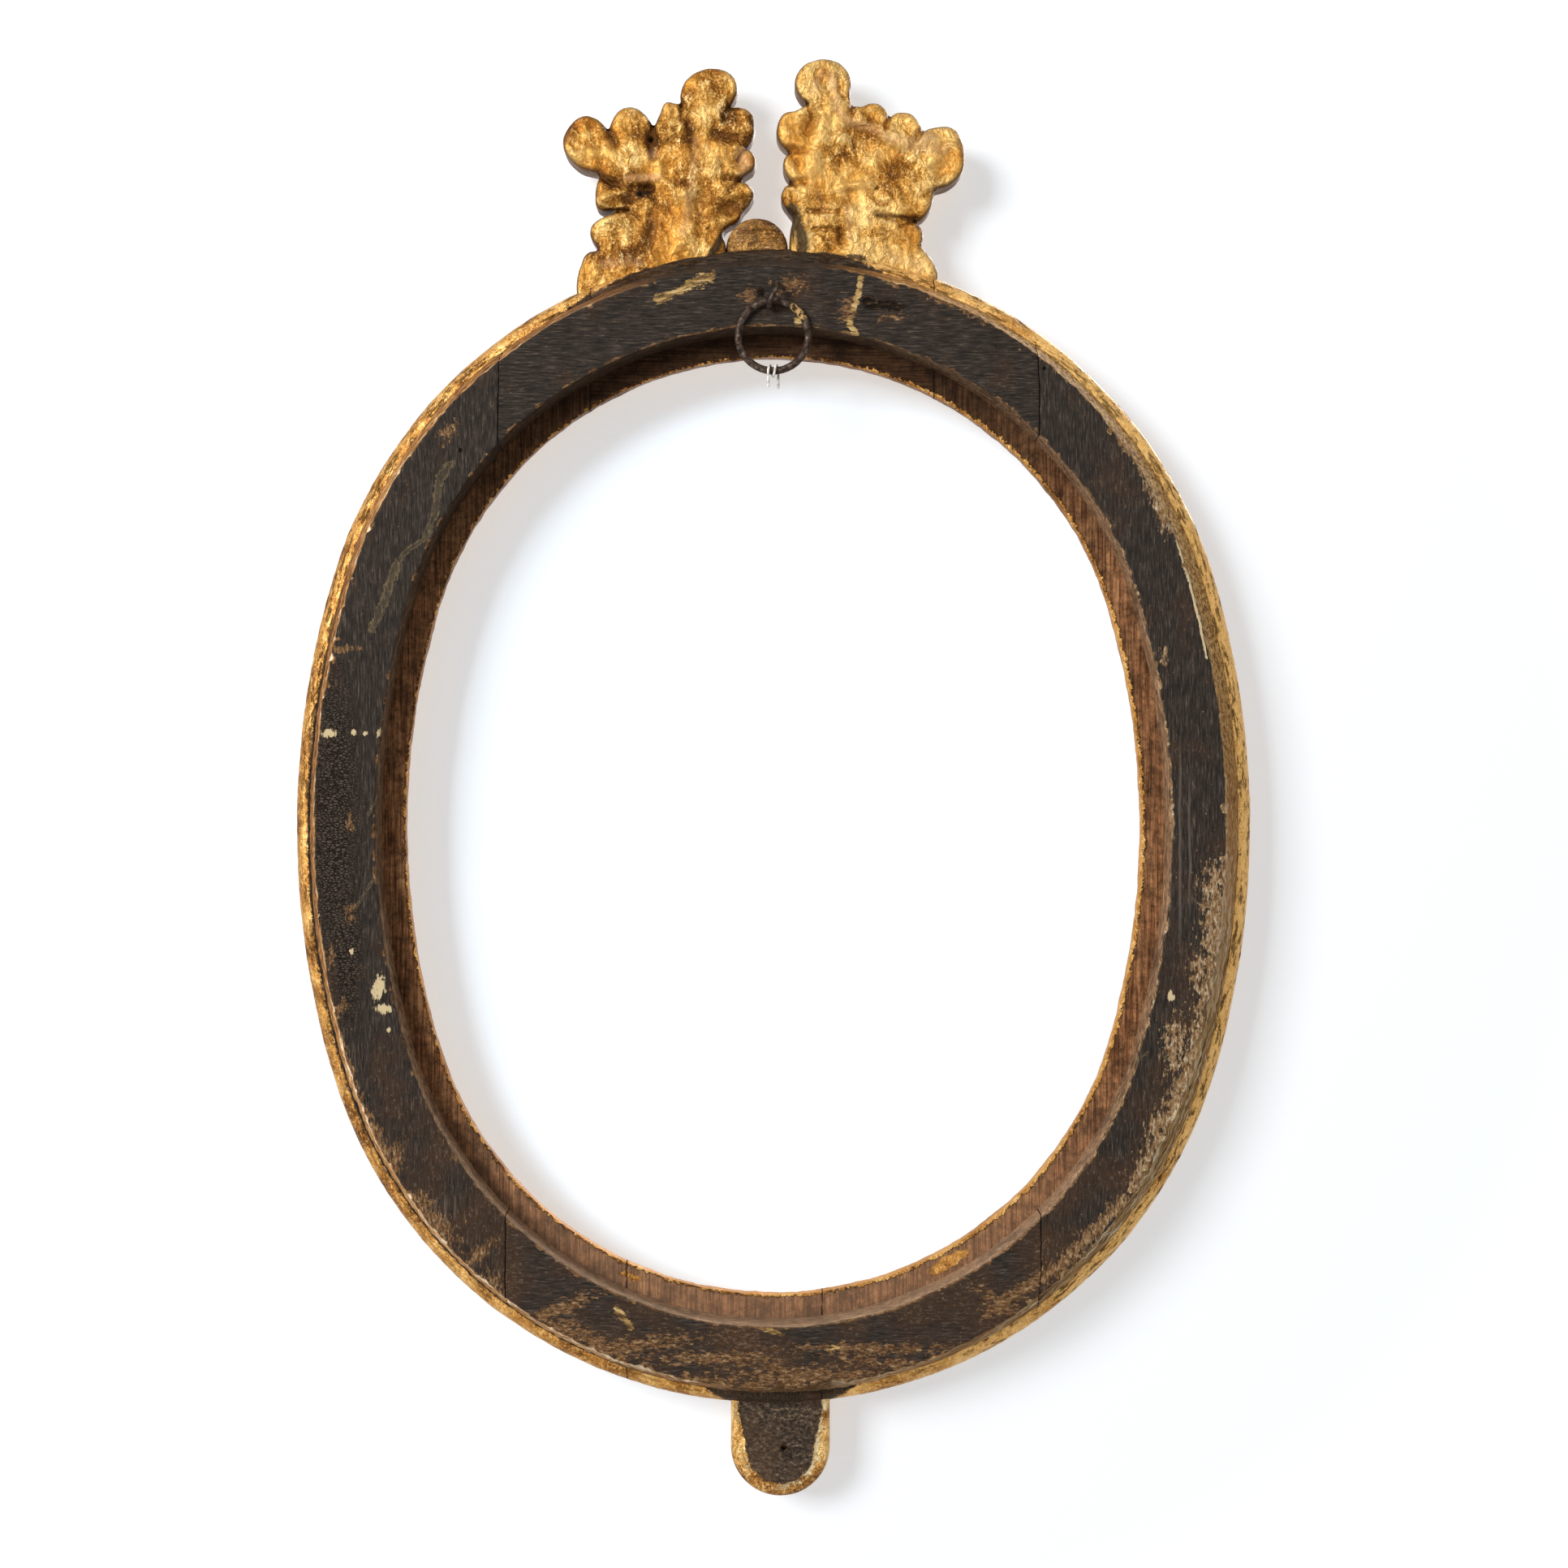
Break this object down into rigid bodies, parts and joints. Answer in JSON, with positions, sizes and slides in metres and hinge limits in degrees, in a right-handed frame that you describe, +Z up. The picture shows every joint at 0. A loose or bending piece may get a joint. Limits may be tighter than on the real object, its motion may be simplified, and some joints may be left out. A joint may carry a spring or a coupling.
{
  "type": "oval picture frame",
  "caption": "Upright oval gilt frame of two plies of boards, with a carved leaf crest, a lower tongue, a rabbet for a picture and an iron hanging ring on its black back.",
  "frame": {"origin": "middle of the oval on the plane of the back, which lies on the wall", "axes": "+Z up, +Y forward to the gilt front, -Y to the wall, +X to the right as seen from behind"},
  "size_m": [0.471, 0.0548, 0.71],
  "materials": {
    "black_board": "worn matt black paint on softwood, bare brown wood in the rabbet",
    "gilt_moulding": "worn leaf gilding on gesso and brown bole",
    "gilt_leaf": "worn gilding over carved wood",
    "bare_wood": "dark bare wood with saw marks",
    "forged_iron": "forged and rust-browned",
    "cotton_thread": "twisted undyed cotton"
  },
  "bodies": {
    "frame": {"back_top": "black_board", "back_bottom": "black_board", "back_left": "black_board", "back_right": "black_board", "front_top": "gilt_moulding", "front_bottom": "gilt_moulding", "front_left": "gilt_moulding", "front_right": "gilt_moulding", "crest_left": "gilt_leaf", "crest_right": "gilt_leaf", "crest_plug": "gilt_leaf", "crest_boss": "bare_wood", "tongue": "gilt_leaf", "crest_dowels": "bare_wood", "tongue_dowels": "bare_wood", "ply_brads": "forged_iron", "staple": "forged_iron"},
    "ring": {"hanging_ring": "forged_iron", "thread": "cotton_thread"}
  },
  "joints": [
    {"name": "ring_swing", "type": "hinge", "parent": "frame", "child": "ring", "pos_m": [0, -0.00225, 0.2538], "axis": [-1, 0, 0], "range_deg": [0, 180]}
  ]
}
